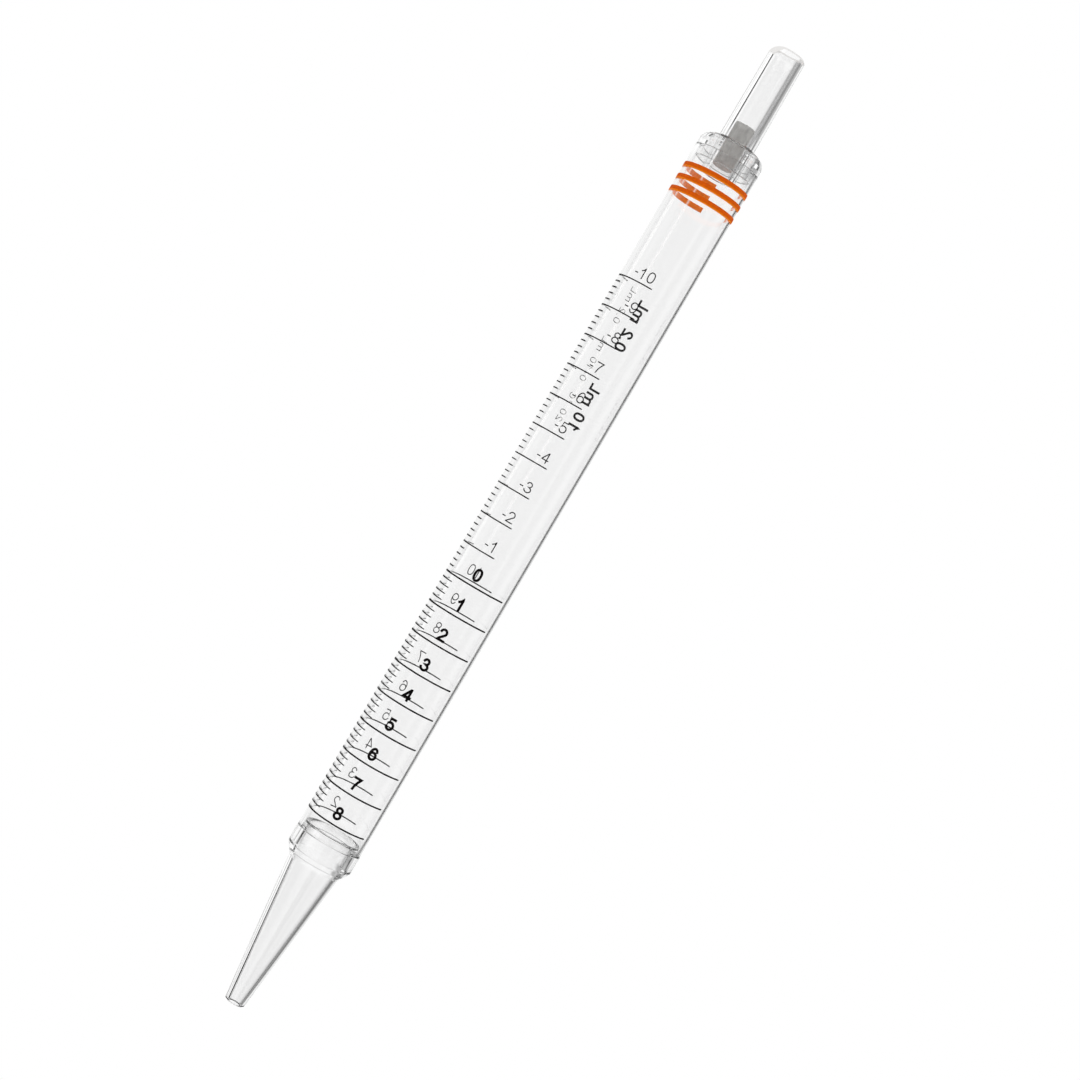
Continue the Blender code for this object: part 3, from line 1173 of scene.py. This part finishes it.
def build_world():
    """White panels and dark cards round the pipette, kept in place relative to the camera.

    The camera itself sees plain white, and matt surfaces get even soft light.
    """
    world = bpy.data.worlds.new("studio")
    bpy.context.scene.world = world
    world.use_nodes = True
    world.cycles.sampling_method = "NONE"
    nodes = Nodes(world.node_tree)
    out = nodes.add("ShaderNodeOutputWorld")
    coords = nodes.add("ShaderNodeTexCoord")
    forward = nodes.add("ShaderNodeVectorTransform", vector_type="VECTOR", convert_from="CAMERA")
    forward.convert_to = "WORLD"
    forward.inputs[0].default_value = (0, 0, 1)
    ray = nodes.add("ShaderNodeSeparateXYZ")
    sight = nodes.add("ShaderNodeSeparateXYZ")
    nodes.link(coords.outputs["Generated"], ray.inputs[0])
    nodes.link(forward.outputs[0], sight.inputs[0])

    def heading(parts):
        return nodes.math("ARCTAN2", parts.outputs["X"], parts.outputs["Y"])

    aside = nodes.math("SUBTRACT", heading(ray), heading(sight))
    aside = nodes.math("WRAP", aside, math.pi, -math.pi)
    aside = nodes.math("MULTIPLY_ADD", aside, 1 / TURN, 0.5)
    ray_up = nodes.math("ARCSINE", ray.outputs["Z"])
    sight_up = nodes.math("ARCSINE", sight.outputs["Z"])
    upward = nodes.math("SUBTRACT", ray_up, sight_up)
    upward = nodes.math("MULTIPLY_ADD", upward, 1 / math.pi, 0.5)

    def cards(stops):
        return nodes.ramp(aside, [((angle + 180) / 360, value / CARD_PEAK) for angle, value in stops])

    def share(stops):
        return nodes.ramp(upward, [((angle + 90) / 180, value) for angle, value in stops])

    def over(base, cover, amount):
        mix = nodes.add("ShaderNodeMix", data_type="RGBA")
        nodes.link(amount, mix.inputs["Factor"])
        nodes.link(base, mix.inputs["A"])
        nodes.link(cover, mix.inputs["B"])
        return mix.outputs["Result"]

    panels = over(cards(BARREL_CARDS), cards(MOULDING_CARDS), share(MOULDING_SHARE))
    panels = over(panels, cards(COLLAR_CARDS), share(COLLAR_SHARE))
    panels = over(panels, cards(TIP_CARDS), share(TIP_SHARE))
    panels = over(cards([(-180, BELOW_CARDS)]), panels, share(CARDS_ABOVE))
    panels = over(cards([(-180, ABOVE_CARDS)]), panels, share(CARDS_BELOW))
    structured = nodes.add("ShaderNodeBackground")
    structured.inputs["Strength"].default_value = CARD_PEAK
    nodes.link(panels, structured.inputs["Color"])
    plain = nodes.add("ShaderNodeBackground")
    plain.inputs["Color"].default_value = (1, 1, 1, 1)
    path = nodes.add("ShaderNodeLightPath")
    matt = nodes.math("GREATER_THAN", path.outputs["Diffuse Depth"], 0.5)
    even = nodes.math("ADD", path.outputs["Is Camera Ray"], matt, clamp=True)
    mix = nodes.add("ShaderNodeMixShader")
    nodes.link(even, mix.inputs["Fac"])
    nodes.link(structured.outputs[0], mix.inputs[1])
    nodes.link(plain.outputs[0], mix.inputs[2])
    nodes.link(mix.outputs[0], out.inputs["Surface"])


def build_floor():
    """A plain white floor under the tip."""
    material, nodes = new_material("floor_white")
    out = nodes.add("ShaderNodeOutputMaterial")
    shader = nodes.add("ShaderNodeEmission")
    shader.inputs["Color"].default_value = (1, 1, 1, 1)
    nodes.link(shader.outputs[0], out.inputs["Surface"])
    bpy.ops.mesh.primitive_plane_add(size=3.0)
    floor = bpy.context.object
    floor.name = "floor"
    floor.data.materials.append(material)
    floor.visible_transmission = False
    floor.visible_glossy = False
    return floor


CAMERA_PLACE = (0.0, -0.4900, 0.1265)
CAMERA_ANGLES_DEG = (0.7510, -1.0647, 30.360)  # yaw, pitch and roll
LENS_MM = 77.37


def build_camera():
    """A viewpoint nearly level and nearly square to the axis, rolled so that the pipette slants."""
    data = bpy.data.cameras.new("camera")
    data.lens = LENS_MM
    data.sensor_width = 36.0
    camera = link(bpy.data.objects.new("camera", data))
    yaw, pitch, roll = (math.radians(angle) for angle in CAMERA_ANGLES_DEG)
    look = Vector((math.sin(yaw) * math.cos(pitch), math.cos(yaw) * math.cos(pitch), math.sin(pitch)))
    level = look.cross(Vector((0, 0, 1))).normalized()
    up = level.cross(look)
    right = math.cos(roll) * level + math.sin(roll) * up
    above = right.cross(look)
    turn = Matrix((right, above, -look)).transposed().to_4x4()
    camera.matrix_world = Matrix.Translation(CAMERA_PLACE) @ turn
    bpy.context.scene.camera = camera


for piece in (build_barrel(), build_tip(), build_mouthpiece()):
    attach(piece, BODY)
build_plug()
for node_name in ("colour_band_upper", "colour_band_middle", "colour_band_lower"):
    build_band(node_name)
build_scale()
build_capacity_marks()
build_world()
build_floor()
build_camera()

scene = bpy.context.scene
scene.view_settings.view_transform = "Standard"
scene.cycles.max_bounces = 32
scene.cycles.transmission_bounces = 32
scene.cycles.glossy_bounces = 16
scene.cycles.blur_glossy = 0.0
